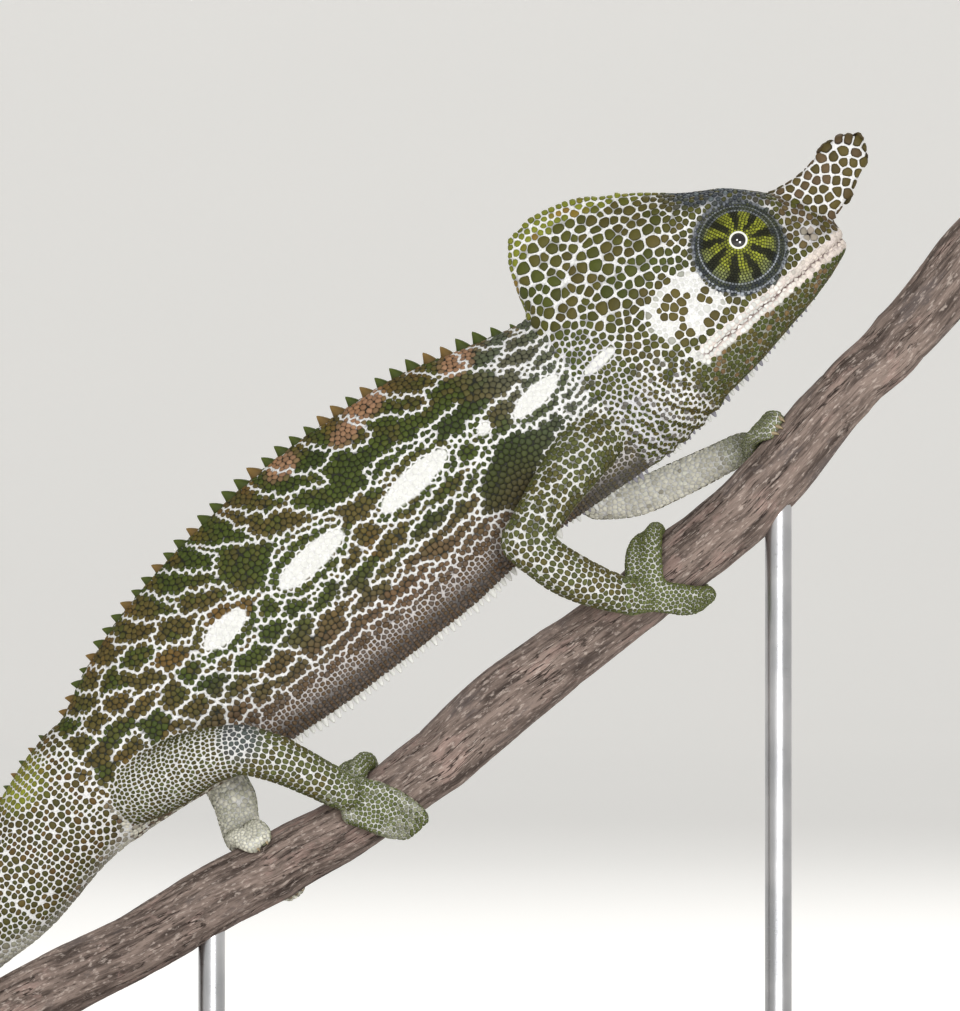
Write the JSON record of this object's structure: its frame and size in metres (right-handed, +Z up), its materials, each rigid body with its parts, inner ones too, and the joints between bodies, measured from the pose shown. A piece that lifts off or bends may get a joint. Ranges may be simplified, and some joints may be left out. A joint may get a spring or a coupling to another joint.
{
  "type": "chameleon",
  "caption": "Life-size still model of a male Labord's chameleon with a high casque and snout blade, gripping a cut branch on a flat display stand",
  "frame": {"origin": "centre of the underside of the stand's base, on the surface it rests on", "axes": "+X is the way the animal faces and climbs, along the stand's long side; +Y is the animal's left; +Z is up"},
  "size_m": [0.1484, 0.066, 0.1356],
  "materials": {
    "skin_green": "scaly reptile skin, dark green and olive scales on a white net, matt to satin",
    "eye_glass": "wet black eye with a pale ring, glossy",
    "bark": "weathered grey-brown bark, cracked along the grain, matt",
    "lacquered_wood": "dark turned and lacquered hardwood, satin",
    "brushed_steel": "fine brushed steel rod"
  },
  "bodies": {
    "root": {"belly": "skin_green", "branch": "bark", "chest": "skin_green", "eye_left": "eye_glass", "eye_right": "eye_glass", "eye_turret_left": "skin_green", "eye_turret_right": "skin_green", "front_left_forearm": "skin_green", "front_left_hand": "skin_green", "front_left_upper_arm": "skin_green", "front_right_forearm": "skin_green", "front_right_hand": "skin_green", "front_right_upper_arm": "skin_green", "head": "skin_green", "hind_left_foot": "skin_green", "hind_left_shank": "skin_green", "hind_left_thigh": "skin_green", "hind_right_foot": "skin_green", "hind_right_shank": "skin_green", "hind_right_thigh": "skin_green", "horn": "skin_green", "lower_jaw": "skin_green", "neck": "skin_green", "pelvis": "skin_green", "stand_base": "lacquered_wood", "stand_rod_front": "brushed_steel", "stand_rod_rear": "brushed_steel", "tail_1": "skin_green", "tail_2": "skin_green", "tail_3": "skin_green", "tail_4": "skin_green", "tail_5": "skin_green", "tail_6": "skin_green", "tail_7": "skin_green", "tail_8": "skin_green", "tail_9": "skin_green"}
  },
  "joints": []
}
